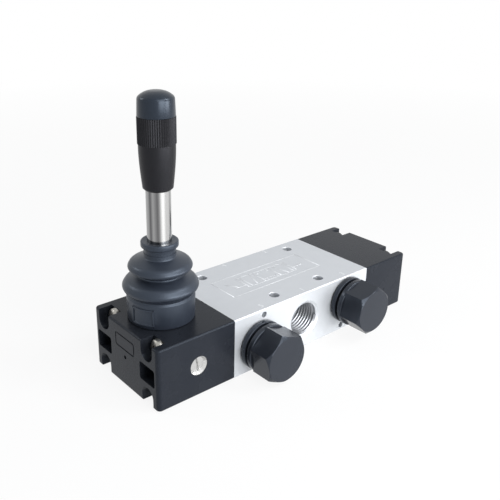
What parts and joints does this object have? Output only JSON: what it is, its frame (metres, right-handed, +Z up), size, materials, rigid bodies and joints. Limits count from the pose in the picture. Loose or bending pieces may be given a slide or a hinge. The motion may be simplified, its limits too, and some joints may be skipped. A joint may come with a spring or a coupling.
{
  "type": "hand lever air valve",
  "caption": "Five-port, three-position spool valve worked by a booted hand lever, with threaded air ports, vertical mounting holes and plug-in exhaust silencers.",
  "frame": {"origin": "middle of the aluminium valve body's underside", "axes": "+X from the lever housing to the end cover, -Y out of the supply port, +Z up along the lever at rest"},
  "size_m": [0.1809, 0.077, 0.1445],
  "materials": {
    "anodised_aluminium": "satin",
    "black_cast": "satin",
    "seal_rubber": "matte",
    "screw_steel": "satin",
    "screw_black": "satin",
    "cage_plastic": "matte",
    "bush_brass": "satin",
    "spool_aluminium": "satin",
    "steel": "satin",
    "rod_steel": "polished",
    "grip_plastic": "satin",
    "cap_plastic": "gloss",
    "boot_rubber": "satin",
    "silencer_plastic": "gloss",
    "felt_fibre": "matte"
  },
  "bodies": {
    "base": {"valve_body": "anodised_aluminium", "lever_housing": "black_cast", "end_cover": "black_cast", "housing_face_seal": "seal_rubber", "cover_face_seal": "seal_rubber", "housing_screws": "screw_steel", "cover_screws": "screw_black", "port_cages": "cage_plastic", "spool_seals": "seal_rubber", "end_bushes": "bush_brass", "pivot_pin": "steel", "boot": "boot_rubber", "detent_plug": "screw_steel", "detent_spring": "steel", "left_silencer_base": "silencer_plastic", "left_silencer_head": "silencer_plastic", "left_silencer_felt": "felt_fibre", "left_silencer_seal": "seal_rubber", "right_silencer_base": "silencer_plastic", "right_silencer_head": "silencer_plastic", "right_silencer_felt": "felt_fibre", "right_silencer_seal": "seal_rubber"},
    "lever": {"lever_hub": "steel", "pivot_bush": "bush_brass", "lever_rod": "rod_steel", "grip_body": "grip_plastic", "grip_insert": "bush_brass", "grip_cap": "cap_plastic"},
    "spool": {"spool": "spool_aluminium", "spool_clevis": "steel", "clevis_pin": "steel"},
    "detent": {"detent_ball": "steel"}
  },
  "joints": [
    {"name": "lever_tilt", "type": "hinge", "parent": "base", "child": "lever", "pos_m": [-0.0738, 0, 0.037], "axis": [0, 1, 0], "range_deg": [-14, 14], "deforming": ["boot"]},
    {"name": "spool_slide", "type": "slide", "parent": "base", "child": "spool", "axis": [1, 0, 0], "range_m": [-0.0051, 0.0051]},
    {"name": "detent_press", "type": "slide", "parent": "base", "child": "detent", "axis": [0, -1, 0], "range_m": [0, 0.0003], "stiffness_N_per_m": 2000, "springref_m": -0.002, "deforming": ["detent_spring"]}
  ],
  "couplings": [
    {"joint": "spool_slide", "follows": "lever_tilt", "m_per_rad": -0.0205}
  ]
}
